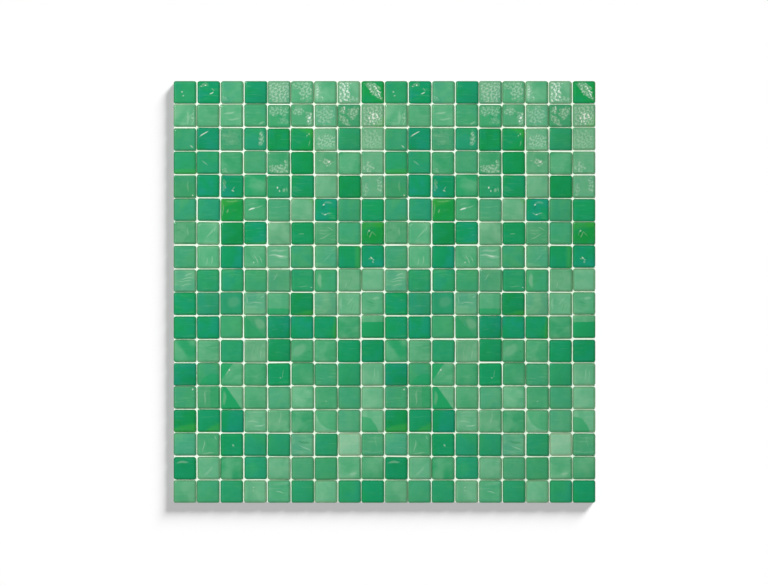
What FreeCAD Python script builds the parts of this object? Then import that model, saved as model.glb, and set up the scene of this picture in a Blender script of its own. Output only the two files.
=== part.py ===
import FreeCAD, Part
import math
import os
import random
from FreeCAD import Placement, Rotation, Vector

# Mosaic tile sheet: pressed glass chips laid in rows on a fibreglass net, with a cream filler in
# the joints. Millimetres. The chips face up, the net's underside is on z = 0 and the middle of
# the sheet is on the Z axis. Row 1 is the row at the far side, +Y, and column 1 is at -X.

# The chips
chips_per_side = 18
chip_side = 15.8
chip_thickness = 4.0
corner_radius = 1.2  # in plan, from a new mould cavity
arris_radius = 0.8  # between the face and the flanks
flank_draft = 0.06  # how far a flank leans in for each millimetre of depth, so that it leaves its mould
cavity_count = 6
corner_wear = 0.7  # how much rounder the corners from the oldest cavity are

# The joints
joint_width = 0.4  # between two flanks, if both are carried on up to the faces
joint_recess = 0.8  # from the chips' faces down to the filler, which ends where the arris begins
filler_set_back = 0.25  # from the foot of the outermost flanks in to the ends of the filler

# The laying, as shares of a joint, so that two chips never meet
size_spread = 0.18 * joint_width
shift_limit = joint_width
tightest_joint = 0.05 * joint_width
turn_limit = math.degrees(0.2 * joint_width / (chip_side / 2))
repeat_columns = 9  # the chips are laid in batches this wide, and every batch lies alike
laying_seed = 11

# The net: warp yarns along Y lie on weft yarns along X
net_pitch = 5.0
yarn_width = 0.9
yarn_thickness = 0.2
net_inset = 1.0  # from the outermost faces in to the ends of the yarns

chip_pitch = chip_side + joint_width
sheet_half = (chips_per_side * chip_pitch - joint_width) / 2
net_half = sheet_half - net_inset
net_top = 2 * yarn_thickness
face_z = net_top + chip_thickness
filler_top = face_z - joint_recess
filler_half = sheet_half - flank_draft * chip_thickness - filler_set_back


def cavity_size(cavity):
    """Width, length and corner radius of the chips from one mould cavity."""
    wear = cavity / max(1, cavity_count - 1)
    width = chip_side + size_spread * (wear - 0.5)
    length = chip_side + size_spread * (0.5 - wear)
    return width, length, corner_radius + corner_wear * wear


def tapered_box(x_low, y_low, x_high, y_high, low, high):
    """A box from z = low to z = high that is 2 x_low by 2 y_low below and 2 x_high by 2 y_high above."""
    box = Part.makeWedge(-x_low, low, -y_low, -y_high, -x_high, x_low, high, y_low, y_high, x_high)
    # a wedge tapers along Y, so it is turned to taper along Z
    box.rotate(Vector(0, 0, 0), Vector(1, 0, 0), 90)
    return box


def drafted_block(cavity, low, high):
    """A chip's flanks from z = low to z = high: two crossed tapered boxes with a cone in each corner."""
    width, length, radius = cavity_size(cavity)
    lean_low = flank_draft * (face_z - low)
    lean_high = flank_draft * (face_z - high)
    x_axis, y_axis = width / 2 - radius, length / 2 - radius
    pieces = [
        tapered_box(width / 2 - lean_low, y_axis, width / 2 - lean_high, y_axis, low, high),
        tapered_box(x_axis, length / 2 - lean_low, x_axis, length / 2 - lean_high, low, high),
    ]
    for x in (-x_axis, x_axis):
        for y in (-y_axis, y_axis):
            cone = Part.makeCone(radius - lean_low, radius - lean_high, high - low, Vector(x, y, low))
            pieces.append(cone)
    return pieces[0].multiFuse(pieces[1:]).removeSplitter().Solids[0]


def pressed_chip(cavity):
    """One chip at the middle of the sheet, with its face at face_z and its arris rounded."""
    block = drafted_block(cavity, net_top, face_z)
    rim = [e for e in block.Edges if e.BoundBox.ZMin > face_z - arris_radius / 2]
    return block.makeFillet(arris_radius, rim).Solids[0]


def plan_size(chip):
    """A chip's size along X and along Y, as it lies after its quarter turns."""
    width, length, _ = cavity_size(chip["cavity"])
    return (length, width) if chip["quarters"] % 2 else (width, length)


def reach(chip, axis):
    """How far a chip reaches from its middle along one axis: its small turn adds to half its size."""
    size = plan_size(chip)
    return (size[axis] + size[1 - axis] * math.tan(math.radians(abs(chip["turn"])))) / 2


def closest(chip, after, axis):
    """The least difference between the shifts of two neighbours that leaves them the tightest joint."""
    return reach(chip, axis) + reach(after, axis) + tightest_joint - chip_side - joint_width


def slide(line, axis, dice):
    """Shifts each chip of a line along one axis, as far as the chips beside it leave it room.

    The first and the last chip are flush with the line's ends, and each shift leaves room for the chips after it.
    """
    steps = [closest(chip, after, axis) for chip, after in zip(line, line[1:])]
    line[0]["shift"][axis] = (plan_size(line[0])[axis] - chip_side) / 2
    line[-1]["shift"][axis] = (chip_side - plan_size(line[-1])[axis]) / 2
    for index in range(1, len(line) - 1):
        low = max(-shift_limit, line[index - 1]["shift"][axis] + steps[index - 1])
        high = min(shift_limit, line[-1]["shift"][axis] - sum(steps[index:]))
        line[index]["shift"][axis] = dice.uniform(low, high)


def lay_batch():
    """How each chip of a batch lies: its cavity, quarter turns, small turn and small shifts."""
    dice = random.Random(laying_seed)
    batch = [
        [
            {
                "cavity": dice.randrange(cavity_count),
                "quarters": dice.randrange(4),
                "turn": turn_limit * dice.uniform(-1, 1),
                "shift": [0, 0],
            }
            for _ in range(repeat_columns)
        ]
        for _ in range(chips_per_side)
    ]
    for row in batch:
        slide(row, 0, dice)
    for column in range(repeat_columns):
        slide([row[column] for row in batch], 1, dice)
    return batch


def place_along(index, shift):
    """A chip's place along one side of the sheet, from its number on that side and its shift."""
    return (index + 0.5) * chip_pitch - joint_width / 2 - sheet_half + shift


def chip_place(chip, row, column):
    """The placement of the chip in this row, counted from +Y, and column, counted from -X.

    The chips at the rim aren't turned, so that the sheet's outline is straight.
    """
    rim = {0, chips_per_side - 1}
    turn = 0 if row in rim or column in rim else chip["turn"]
    x = place_along(column, chip["shift"][0])
    y = -place_along(row, chip["shift"][1])
    return Placement(Vector(x, y, 0), Rotation(Vector(0, 0, 1), 90 * chip["quarters"] + turn))


def placed(shape, placement):
    """A copy of a shape at its place on the sheet."""
    copy = shape.copy()
    copy.Placement = placement
    return copy


def chip_row(row, masters, laying):
    """The chips of one row, which don't touch each other."""
    chips = []
    for column in range(chips_per_side):
        chip = laying[row][column % repeat_columns]
        chips.append(placed(masters[chip["cavity"]], chip_place(chip, row, column)))
    return Part.makeCompound(chips)


def joint_filler(laying):
    """The filler between the chips' flanks, as one grid that is open at the sheet's outline."""
    slab = Part.makeBox(
        2 * filler_half, 2 * filler_half, filler_top - net_top,
        Vector(-filler_half, -filler_half, net_top),
    )
    # the blocks stand past the slab above and below, so that each cut goes right through
    blocks = [
        drafted_block(cavity, net_top - yarn_thickness, face_z) for cavity in range(cavity_count)
    ]
    windows = []
    for row in range(chips_per_side):
        for column in range(chips_per_side):
            chip = laying[row][column % repeat_columns]
            windows.append(placed(blocks[chip["cavity"]], chip_place(chip, row, column)))
    # the slab's corners, cut off by the round corners of the corner chips, are dropped
    return max(slab.cut(windows).Solids, key=lambda solid: solid.Volume)


def yarns(low, along_x):
    """One layer of flat yarns from z = low, with one yarn through the middle of the sheet."""
    each_side = math.floor((net_half - yarn_width / 2) / net_pitch)
    layer = []
    for number in range(-each_side, each_side + 1):
        across = number * net_pitch - yarn_width / 2
        if along_x:
            yarn = Part.makeBox(2 * net_half, yarn_width, yarn_thickness, Vector(-net_half, across, low))
        else:
            yarn = Part.makeBox(yarn_width, 2 * net_half, yarn_thickness, Vector(across, -net_half, low))
        layer.append(yarn)
    return Part.makeCompound(layer)


def write(shape, name):
    """Writes one sub-part to its own file."""
    shape.exportStep("parts/" + name + ".step")
    print(name, len(shape.Solids), "solids", round(shape.Volume / 1000, 2), "cm3")


os.makedirs("parts", exist_ok=True)
laying = lay_batch()
masters = [pressed_chip(cavity) for cavity in range(cavity_count)]
for row in range(chips_per_side):
    write(chip_row(row, masters, laying), "chip_row_%02d" % (row + 1))
write(joint_filler(laying), "joint_filler")
write(yarns(0, along_x=True), "net_weft")
write(yarns(yarn_thickness, along_x=False), "net_warp")
print("sheet", round(2 * sheet_half, 2), "mm square,", round(face_z, 2), "mm thick")
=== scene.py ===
# %% [markdown]
# This scene dresses a sheet of glass mosaic: 324 small pressed glass chips in 18 rows, held by a net on the
# back, with a cream filler in the joints. The solids come from the frame, which fixes where everything is
# and how large. Here each row of chips gets the real surface of pressed glass, and the filler and the net
# get theirs.
#
# The script is read from top to bottom. Lengths are written in millimetres and turned into metres by MM.

# %% Load the frame
import math

import bpy
import numpy as np
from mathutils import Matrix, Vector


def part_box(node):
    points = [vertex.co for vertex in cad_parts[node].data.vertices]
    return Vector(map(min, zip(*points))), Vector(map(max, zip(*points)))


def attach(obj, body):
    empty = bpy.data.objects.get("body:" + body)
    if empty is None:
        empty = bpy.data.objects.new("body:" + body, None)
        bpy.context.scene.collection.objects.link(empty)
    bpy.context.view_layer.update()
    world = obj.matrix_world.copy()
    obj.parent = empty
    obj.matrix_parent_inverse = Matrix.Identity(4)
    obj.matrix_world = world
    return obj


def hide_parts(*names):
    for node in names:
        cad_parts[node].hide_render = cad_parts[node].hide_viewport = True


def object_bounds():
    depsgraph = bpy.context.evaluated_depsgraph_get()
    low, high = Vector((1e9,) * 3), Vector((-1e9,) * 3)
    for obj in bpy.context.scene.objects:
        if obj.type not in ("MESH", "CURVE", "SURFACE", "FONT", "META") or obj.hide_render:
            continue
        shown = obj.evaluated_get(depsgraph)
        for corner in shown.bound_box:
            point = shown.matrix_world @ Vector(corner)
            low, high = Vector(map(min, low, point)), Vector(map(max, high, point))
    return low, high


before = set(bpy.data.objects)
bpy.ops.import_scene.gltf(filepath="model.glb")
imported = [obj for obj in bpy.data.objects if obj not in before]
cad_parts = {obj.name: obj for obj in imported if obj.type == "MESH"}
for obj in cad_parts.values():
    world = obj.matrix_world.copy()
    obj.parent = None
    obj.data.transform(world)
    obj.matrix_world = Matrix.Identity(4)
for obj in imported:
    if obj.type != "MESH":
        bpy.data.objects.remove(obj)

MM = 0.001
cad_box = [list(corner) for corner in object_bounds()]
row_names = sorted(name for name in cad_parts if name.startswith("chip_row_"))
print("rows of chips:", len(row_names), "box in mm:", np.round(np.array(cad_box) / MM, 2).tolist())

# %% [markdown]
# The camera comes first, so that every later step can be looked at. The sheet was photographed from
# straight in front with a long lens, so here the camera hangs over the middle of the sheet and looks
# straight down. A longer lens from further away shows less of the chips' sides, which is what a flat
# product picture looks like. The lens follows from the width of the picture at the chips' faces.

# %% Camera
SENSOR_WIDTH = 36.0
CAMERA_HEIGHT = 2400 * MM
PICTURE_WIDTH = 768
SHEET_IN_PICTURE = 422.0  # how many pixels of the picture's width the sheet takes
SHEET_OFF_MIDDLE = (0.5, 0.6)  # how many pixels the sheet lies right of and above the picture's middle


def add_object(name, data):
    """Adds an object to the scene."""
    made = bpy.data.objects.new(name, data)
    bpy.context.scene.collection.objects.link(made)
    return made


sheet_low, sheet_high = (np.array(corner) for corner in cad_box)
face_z = sheet_high[2]
pixel = (sheet_high[0] - sheet_low[0]) / SHEET_IN_PICTURE

camera_data = bpy.data.cameras.new("camera")
camera_data.sensor_width = SENSOR_WIDTH
camera_data.lens = SENSOR_WIDTH * CAMERA_HEIGHT / (PICTURE_WIDTH * pixel)
camera = add_object("camera", camera_data)
camera.location = (-SHEET_OFF_MIDDLE[0] * pixel, -SHEET_OFF_MIDDLE[1] * pixel, face_z + CAMERA_HEIGHT)
bpy.context.scene.camera = camera
print("lens in mm:", round(camera_data.lens, 1), "one pixel in mm:", round(pixel / MM, 3))

# %% [markdown]
# Before a chip can be dressed, the script has to know how it lies. No two chips lie quite alike: each is
# turned a little, shifted a little and pressed in a mould cavity of its own. All of that can be read from
# the solid. A row is one mesh in the frame, so its triangles are first told apart by chip. The chips of a
# row don't touch, so there is a gap along X from each to the next.

# %% Tell the chips of a row apart
CHIPS_PER_ROW = len(row_names)


def read_array(items, name, width):
    """One property of every vertex or face of a mesh, as an array with a line for each."""
    values = np.empty(len(items) * width)
    items.foreach_get(name, values)
    return values.reshape(-1, width) if width > 1 else values


def chips_apart(corners):
    """The number of the chip, from -X, that each triangle of a row is part of.

    Sorted by where they begin along X, the triangles of a chip overlap, and a chip begins where the next
    triangle begins beyond the end of all before it.
    """
    begin, end = corners[..., 0].min(axis=1), corners[..., 0].max(axis=1)
    order = np.argsort(begin)
    is_first = begin[order][1:] > np.maximum.accumulate(end[order])[:-1]
    chip = np.zeros(len(corners), dtype=int)
    chip[order[1:]] = np.cumsum(is_first)
    return chip


print("triangles of the first row:", len(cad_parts[row_names[0]].data.polygons))

# %% [markdown]
# Now each chip can be measured. The flanks tell the turn, the widest points tell the size, and the distance
# to a corner tells how round it is.

# %% Read how each chip lies
UPRIGHT = 0.2  # a face is part of a flank if its normal rises or falls by less than this
MIDDLE_X, MIDDLE_Y, TURN, HALF_X, HALF_Y, RADIUS = range(6)  # what is read of each chip


def read_row(name):
    """The middle, turn, half sizes and corner radius of each chip of a row, from -X to +X.

    The turn is the mean direction of the flanks, with each direction taken four times, so that all four
    sides of a square say the same. A rectangle with the half sizes a and b has its corners sqrt(2) - 1
    corner radii nearer along the diagonal than (a + b) / sqrt(2), and that gives the radius.
    """
    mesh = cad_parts[name].data
    points = read_array(mesh.vertices, "co", 3)
    corners = points[read_array(mesh.polygons, "vertices", 3).astype(int)]
    normals = read_array(mesh.polygons, "normal", 3)
    areas = read_array(mesh.polygons, "area", 1)
    chip_of_face = chips_apart(corners)
    is_upright = np.abs(normals[:, 2]) < UPRIGHT
    chips = np.zeros((CHIPS_PER_ROW, RADIUS + 1))
    for chip in range(CHIPS_PER_ROW):
        mine = chip_of_face == chip
        flanks = mine & is_upright
        direction = np.arctan2(normals[flanks, 1], normals[flanks, 0])
        turn = np.angle((areas[flanks] * np.exp(4j * direction)).sum()) / 4
        x, y = corners[mine].reshape(-1, 3)[:, :2].T
        along = x * math.cos(turn) + y * math.sin(turn)
        across = y * math.cos(turn) - x * math.sin(turn)
        middle = (along.max() + along.min()) / 2, (across.max() + across.min()) / 2
        half = (along.max() - along.min()) / 2, (across.max() - across.min()) / 2
        reach = (np.abs(along - middle[0]) + np.abs(across - middle[1])).max() / math.sqrt(2)
        radius = (sum(half) / math.sqrt(2) - reach) / (math.sqrt(2) - 1)
        chips[chip] = (
            middle[0] * math.cos(turn) - middle[1] * math.sin(turn),
            middle[0] * math.sin(turn) + middle[1] * math.cos(turn),
            turn, half[0], half[1], radius,
        )
    return chips


laid = np.array([read_row(name) for name in row_names])
back_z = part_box(row_names[0])[0].z
print("chips read:", laid.shape[0] * laid.shape[1])
for label, values in {"half sizes": laid[..., HALF_X:RADIUS], "corner radii": laid[..., RADIUS]}.items():
    print(label, "in mm:", np.round(values.min() / MM, 2), "to", np.round(values.max() / MM, 2))

# %% [markdown]
# A pressed chip is a low block: rounded corners in plan, a rounded arris between the face and the flanks,
# flanks that lean in towards the back so that the chip leaves its mould, and shallow ribs on the back that
# give the adhesive a hold. Each chip could be a cube with bevels, but then its face would have nowhere to
# carry the dips and wrinkles of real pressed glass. So the face is a square grid that is pressed into the
# rounded outline, and the arris is that outline again, twice, each time further out and lower down. The
# grid's lines stand close together where the corners are round. A smooth chip needs one cell between the
# corners, and a wrinkled one many.

# %% The outline of a chip
ARRIS = 0.8 * MM
FLANK_LEAN = 0.06
ARRIS_STEPS = np.radians([45, 90 + math.degrees(math.atan(FLANK_LEAN))])  # its turn down at its two rings
CORNER_LINES = 2  # grid lines in each corner of a side: the rim, and one that halves the corner's turn
CORNER_STEP = math.tan(math.radians(22.5))  # where the second of them lies, as a share of the corner


def grid_lines(inner, cells):
    """Where the lines of the grid cross one side, from -1 to 1, if its corners start at the share inner.

    Between the corners lie the given number of even cells, and outside them are the corners' own lines.
    """
    corner = 1 - inner
    even = inner[:, None] * np.linspace(-1, 1, cells + 1)
    split = inner + CORNER_STEP * corner
    one = np.ones_like(inner)
    return np.column_stack([-one, -split, even, split, one])


def pressed(u, v, half_x, half_y, radius):
    """Presses points of a square into a rounded rectangle, and gives the way out of it at each point.

    The square is a nest of rings. The ring at the share m becomes a rectangle m times as large as the
    whole, and where it runs past the middle of its corner, the rest of the way is scaled to the corner's
    radius, m times the whole's.
    """
    ring = np.maximum(np.abs(u), np.abs(v))
    past_x = np.abs(u) * half_x - ring * (half_x - radius)
    past_y = np.abs(v) * half_y - ring * (half_y - radius)
    corner = (past_x > 0) & (past_y > 0)
    length = np.where(corner, np.hypot(past_x, past_y), 1)
    scale = np.where(corner, ring * radius / length, 1)
    x = np.sign(u) * (ring * (half_x - radius) + past_x * scale)
    y = np.sign(v) * (ring * (half_y - radius) + past_y * scale)
    side = np.abs(u) * half_x - ring * half_x >= np.abs(v) * half_y - ring * half_y
    out_x = np.sign(u) * np.where(corner, past_x / length, side)
    out_y = np.sign(v) * np.where(corner, past_y / length, ~side)
    return x, y, out_x, out_y


def round_the_rim(lines_x, lines_y):
    """The points where two sets of grid lines meet the rim, once round from the corner at -X and -Y."""
    low_x, low_y = lines_x[:, :-1], lines_y[:, :-1]
    u = np.column_stack([low_x, np.ones_like(low_y), -low_x, -np.ones_like(low_y)])
    v = np.column_stack([-np.ones_like(low_x), low_y, np.ones_like(low_x), -low_y])
    return u, v


print("the arris turns down in degrees by:", np.round(np.degrees(ARRIS_STEPS), 1).tolist())

# %% [markdown]
# The faces are the same for every chip with the same number of cells, so their corner numbers are worked
# out once and shifted for each chip. The ribs need more points along the foot than the smooth chip's arris
# has, so each flank is one flat face with many corners. That keeps a smooth chip at about a hundred faces,
# which matters when there are hundreds of chips.

# %% The faces of a chip
RIB_STEPS = 14  # from the crest of a rib to the groove beside it is one step
RIBBED_SIDE = RIB_STEPS + 2 * CORNER_LINES  # steps along the foot of a side where the ribs come out
PLAIN_SIDE = 1 + 2 * CORNER_LINES  # steps along the foot of a side beside the ribs


def band_between(upper, lower):
    """The four corners of each face between two lines of corner numbers."""
    return np.column_stack([upper[:-1], lower[:-1], lower[1:], upper[1:]])


def chip_faces(cells):
    """Tables of corner numbers: the face's grid, the rings of the arris, the flanks and the ribbed back."""
    lines = cells + 1 + 2 * CORNER_LINES
    count = lines - 1
    run = np.arange(count)
    number = np.arange(lines * lines).reshape(lines, lines)
    grid = np.stack([number[:-1, :-1], number[1:, :-1], number[1:, 1:], number[:-1, 1:]], axis=-1)
    rim = np.concatenate([number[run, 0], number[-1, run], number[count - run, -1], number[0, count - run]])
    rings = [rim]
    for step in range(len(ARRIS_STEPS)):
        rings.append(lines * lines + step * len(rim) + np.arange(len(rim)))
    quads = [grid.reshape(-1, 4)]
    for upper, lower in zip(rings, rings[1:]):
        quads.append(np.column_stack([upper, lower, np.roll(lower, -1), np.roll(upper, -1)]))

    steps_of_side = [RIBBED_SIDE, PLAIN_SIDE, RIBBED_SIDE, PLAIN_SIDE]
    foot_start = rings[-1][-1] + 1
    between_corners = slice(CORNER_LINES, -CORNER_LINES)
    flanks, sides_of_foot = [], []
    begin = 0
    for side, steps in enumerate(steps_of_side):
        top = rings[-1][(side * count + np.arange(count + 1)) % len(rim)]
        foot = foot_start + (begin + np.arange(steps + 1)) % sum(steps_of_side)
        for corner in (slice(0, CORNER_LINES + 1), slice(-CORNER_LINES - 1, None)):
            quads.append(band_between(top[corner], foot[corner]))
        flanks.append(np.concatenate([foot[between_corners], top[between_corners][::-1]])[None])
        sides_of_foot.append(foot)
        begin += steps
    near, right, far, left = sides_of_foot
    quads.append(band_between(near, far[::-1]))
    ends = [right[::-1][None], left[::-1][None]]
    return [np.concatenate(quads)] + flanks + ends


print("faces of a smooth chip:", sum(len(table) for table in chip_faces(1)))

# %% [markdown]
# The glass is pressed in many greens, from a deep bottle green to a pale, cloudy frost. Each green gets a
# name and a colour as the eye reads it on a screen. Shaders mix light and not screen values, so the colours
# are turned into linear ones first.

# %% The glasses
def linear(red, green, blue):
    """A colour of 0 to 255 turned into linear values by the sRGB curve: a straight foot, then a power."""
    share = np.array([red, green, blue]) / 255
    return np.where(share <= 0.04045, share / 12.92, ((share + 0.055) / 1.055) ** 2.4)


GLASSES = {
    "clover": linear(60, 164, 110),
    "mint": linear(84, 172, 122),
    "emerald": linear(20, 157, 94),
    "bottle": linear(14, 150, 80),
    "teal": linear(14, 156, 98),
    "lagoon": linear(48, 160, 112),
    "grass": linear(20, 158, 72),
    "fern": linear(46, 163, 106),
    "leaf": linear(70, 168, 111),
    "jade": linear(90, 177, 128),
    "frost": linear(106, 181, 136),
    "milk": linear(148, 203, 164),
}
COMMON = ("clover", "mint")
DEEP = ("emerald", "bottle", "teal", "lagoon", "grass", "fern", "leaf")
BLUE_GREEN = linear(24, 148, 126)  # only stirred into others
print("glasses:", len(GLASSES), "of which deep:", len(DEEP))

# %% [markdown]
# The chips are packed in batches nine columns wide, which is why the two halves of the sheet look so alike.
# Each chip gets a glass by name: those that catch the eye by their row and column, and the rest by a throw
# of seeded dice between two middling greens.

# %% Which chip has which glass
BATCH_COLUMNS = 9
# glass: [(row, column), ...]
STANDING_OUT = {
    "emerald": [(1, 4), (5, 6), (6, 9), (7, 6), (8, 8), (10, 1), (11, 1), (11, 7), (12, 5), (12, 8),
                (13, 5), (15, 2), (16, 3), (18, 9)],
    "bottle": [(3, 5), (4, 6), (5, 8), (7, 3), (10, 6), (12, 9), (15, 1), (17, 1)],
    "teal": [(1, 2), (3, 2), (5, 2), (5, 3), (6, 7), (7, 4), (8, 3), (8, 9), (11, 2), (11, 5), (11, 6),
             (13, 1), (15, 3)],
    "lagoon": [(6, 2), (10, 2), (10, 3)],
    "grass": [(1, 9), (3, 6), (6, 3), (7, 9)],
    "fern": [(1, 1), (3, 4), (3, 8), (4, 1), (4, 2), (5, 4), (5, 5), (9, 2), (9, 3), (9, 6), (12, 1),
             (12, 3), (13, 8), (16, 4), (16, 5), (16, 7), (17, 3), (17, 4), (18, 3), (18, 6), (18, 8)],
    "leaf": [(2, 5), (3, 1), (5, 1), (6, 1), (6, 8), (8, 6), (9, 4), (9, 7), (11, 3), (13, 2), (17, 7)],
    "jade": [(1, 3), (1, 6), (1, 7), (2, 1), (2, 3), (4, 7), (7, 2), (8, 2), (8, 7), (9, 5), (9, 8),
             (10, 5), (10, 9), (11, 9), (14, 3), (14, 5), (14, 6), (15, 5), (15, 8), (16, 1), (17, 8),
             (18, 1), (18, 5)],
    "frost": [(1, 5), (1, 8), (2, 7), (2, 9), (3, 7), (3, 9), (4, 9), (5, 7), (5, 9), (6, 6), (7, 5),
              (8, 5), (9, 1), (9, 9), (10, 4), (10, 7), (10, 8), (12, 4), (13, 9), (14, 9), (15, 4),
              (15, 7), (15, 9), (16, 6), (17, 2), (17, 5), (18, 4), (18, 7)],
    "milk": [(16, 8)],
}
glass_names = list(GLASSES)
batch_shape = (CHIPS_PER_ROW, BATCH_COLUMNS)
glass_of = np.full(batch_shape, glass_names.index(COMMON[0]))
for name, spots in STANDING_OUT.items():
    rows, columns = np.array(spots).T
    glass_of[rows - 1, columns - 1] = glass_names.index(name)
print("chips of each glass in a batch:", dict(zip(glass_names, np.bincount(glass_of.ravel()).tolist())))

# %% [markdown]
# No chip is of one glass alone. A little of another is stirred in, which shows as soft clouds: milk in the
# paler ones, and more often a blue-green in the deep ones. Chips fall into their tray either way round, so
# each also gets some quarter turns, and a place of its own in the noise that its clouds are made of.

# %% What is stirred into each chip
BATCH_SEED = 5
TONE = (0.88, 0.95)  # the least and the most that a chip keeps of its glass's brightness
STIRRED = (0.15, 0.40)  # the least and the most of the other glass
STIRRED_IN_COMMON = 0.6  # the share of that in the common glasses
STIRRED_IN_TEAL = 0.85  # teal gets this, less that
MILK_IN_DEEP = 0.1  # how many of the deep chips have milk in them
MILK_IN_PALE = 0.6
NOISE_REACH = 400.0  # millimetres
MOST_STREAKS = 0.25
STREAKS_IN_DEEP = 0.4  # the share of that in the deep glasses


def is_one_of(*names):
    """Which chips of the batch have one of these glasses, with an axis for the colour."""
    return np.isin(glass_of, [glass_names.index(name) for name in names])[..., None]


is_common, is_deep, is_teal = is_one_of(*COMMON), is_one_of(*DEEP), is_one_of("teal")
batch_dice = np.random.default_rng(BATCH_SEED)
common_mix = batch_dice.uniform(0, 1, batch_shape)[..., None]
plain_glass = GLASSES["clover"] * (1 - common_mix) + GLASSES["mint"] * common_mix
glass_colour = np.where(is_common, plain_glass, np.array(list(GLASSES.values()))[glass_of])
glass_colour = glass_colour * batch_dice.uniform(*TONE, batch_shape)[..., None]
stirred = batch_dice.uniform(*STIRRED, batch_shape)[..., None] * np.where(is_common, STIRRED_IN_COMMON, 1.0)
stirred = np.where(is_teal, STIRRED_IN_TEAL - stirred, stirred)
milk_chance = np.where(is_teal, 0.0, np.where(is_deep, MILK_IN_DEEP, MILK_IN_PALE))
with_milk = batch_dice.random(batch_shape)[..., None] < milk_chance
stirred_with = np.where(with_milk, GLASSES["milk"], BLUE_GREEN)
swirl_colour = glass_colour * (1 - stirred) + stirred_with * stirred
quarters = batch_dice.integers(0, 4, batch_shape)
flow_shift = batch_dice.uniform(-NOISE_REACH, NOISE_REACH, batch_shape + (3,))
streaks = batch_dice.uniform(0, MOST_STREAKS, batch_shape) * np.where(is_deep[..., 0], STREAKS_IN_DEEP, 1.0)
print("chips with milk in a batch:", int(with_milk.sum()))

# %% [markdown]
# Some chips have a crease where two gobs of glass met in the mould: one side is darker than the other, and
# the border is a line or part of a circle. A circle does for both, because a very large one is as good as
# straight. So a crease is the middle of a circle and its radius, in millimetres from the chip's middle, and
# the inside is the darker side. It also has a depth, from 0 for one that hardly shows up to 1. A tinge is
# laid out as a circle too: there the glass turns to a yellowish green towards one side.

# %% Creases and tinges
STRAIGHT = 400.0  # the radius of a circle that is as good as straight
NOWHERE = (0.0, 0.0, -20.0)  # a circle that holds nothing


def beyond_line(angle, offset):
    """All that lies towards the angle in degrees, beyond the offset from the middle, as a huge circle."""
    direction = math.radians(angle)
    reach = offset + STRAIGHT
    return reach * math.cos(direction), reach * math.sin(direction), STRAIGHT


# (row, column): (circle, depth)
CREASES = {
    (10, 5): (beyond_line(270, 3.5), 0.7),
    (11, 4): (beyond_line(225, 0.0), 0.5),
    (11, 9): (beyond_line(270, -3.0), 0.95),
    (13, 2): ((4.0, -9.0, 9.5), 0.6),
    (13, 3): (beyond_line(145, 4.0), 0.85),
    (14, 2): (beyond_line(0, 1.5), 0.45),
    (14, 3): (beyond_line(215, -1.4), 0.95),
    (15, 7): ((6.0, 7.0, 13.0), 0.5),
    (15, 9): ((-8.0, -8.0, 11.3), 0.65),
}
# (row, column): circle
TINGES = {
    (2, 9): beyond_line(315, 6.5),
    (3, 6): beyond_line(60, 6.0),
    (4, 1): beyond_line(270, 6.0),
    (6, 3): beyond_line(110, 5.5),
    (6, 6): beyond_line(30, 8.8),
    (7, 4): beyond_line(280, 7.4),
    (7, 9): beyond_line(100, 5.0),
    (8, 8): beyond_line(0, 5.0),
    (10, 6): beyond_line(285, 7.0),
    (11, 7): beyond_line(0, 7.0),
    (15, 1): beyond_line(280, 4.5),
    (15, 2): beyond_line(300, 6.0),
}


def over_the_batch(values, elsewhere):
    """One value or vector for each chip of a batch, from a few that are given by row and column."""
    table = np.tile(np.array(elsewhere), batch_shape + (1,) * np.ndim(elsewhere))
    for (row, column), value in values.items():
        table[row - 1, column - 1] = value
    return table


tinge = over_the_batch(TINGES, NOWHERE)
crease = over_the_batch({spot: circle for spot, (circle, _) in CREASES.items()}, NOWHERE)
crease_depth = over_the_batch({spot: depth for spot, (_, depth) in CREASES.items()}, 0.0)
print("creased chips in a batch:", len(CREASES), "and tinged:", len(TINGES))

# %% [markdown]
# Where hot glass touches a cold mould too soon, its skin wrinkles. Such chips sparkle, because the wrinkles
# throw the lamp back from their slopes. A bump in the material would fake that from straight above only, so
# the wrinkles are real: many low waves in all directions are added up and pressed into soft-topped worms.
# The crests are painted pale, as a highlight, and the hollows between them dark, as painted shade.

# %% Wrinkles
WRINKLE_DEPTH = 0.13 * MM
# The crest's and the hollow's marks are painted light: a highlight on the crests and shade in the hollows.
WRINKLE_CREST_HIGHLIGHT = 0.75  # the mark on a crest
WRINKLE_HOLLOW_SHADE = 1.35  # the mark in a hollow, below 0
WRINKLE_CONTRAST = 2.2
WAVE_NUMBER = 26
WAVE_LENGTHS = (1.0, 3.0)  # the least and the most, in millimetres

wave_dice = np.random.default_rng(BATCH_SEED + 1)
wave_angle = wave_dice.uniform(0, math.pi, WAVE_NUMBER)
wave_rate = 2 * math.pi / wave_dice.uniform(*WAVE_LENGTHS, WAVE_NUMBER)
wave_phase = wave_dice.uniform(0, 2 * math.pi, WAVE_NUMBER)


def worms(x, y, shift):
    """Wrinkles between 0 and 1 at points in millimetres: waves in all directions, flattened by a tanh."""
    total = np.zeros(x.shape)
    for angle, rate, phase in zip(wave_angle, wave_rate, wave_phase):
        along = (x + shift[0]) * math.cos(angle) + (y + shift[1]) * math.sin(angle)
        total += np.sin(along * rate + phase)
    return 0.5 + 0.5 * np.tanh(WRINKLE_CONTRAST * total / math.sqrt(WAVE_NUMBER))


print("waves in millimetres:", np.round(np.sort(2 * math.pi / wave_rate), 1).tolist())

# %% [markdown]
# Only part of a chip is wrinkled, as the mould was cold in one place. Such a patch is an ellipse: its
# middle, its reach along and across, its turn in degrees and its strength. Places and reaches are shares of
# the chip's half side. A clean ellipse would look like a stamp, so two waves that cross make its border
# ragged.

# %% Wrinkled patches
WRINKLE_CELLS = 50
PATCH_MARGIN = 0.05  # how far a patch goes on past its ellipse
PATCH_BORDER = 0.35
PATCH_RAGGED = 0.35
BARE_RIM = 0.1
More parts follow.
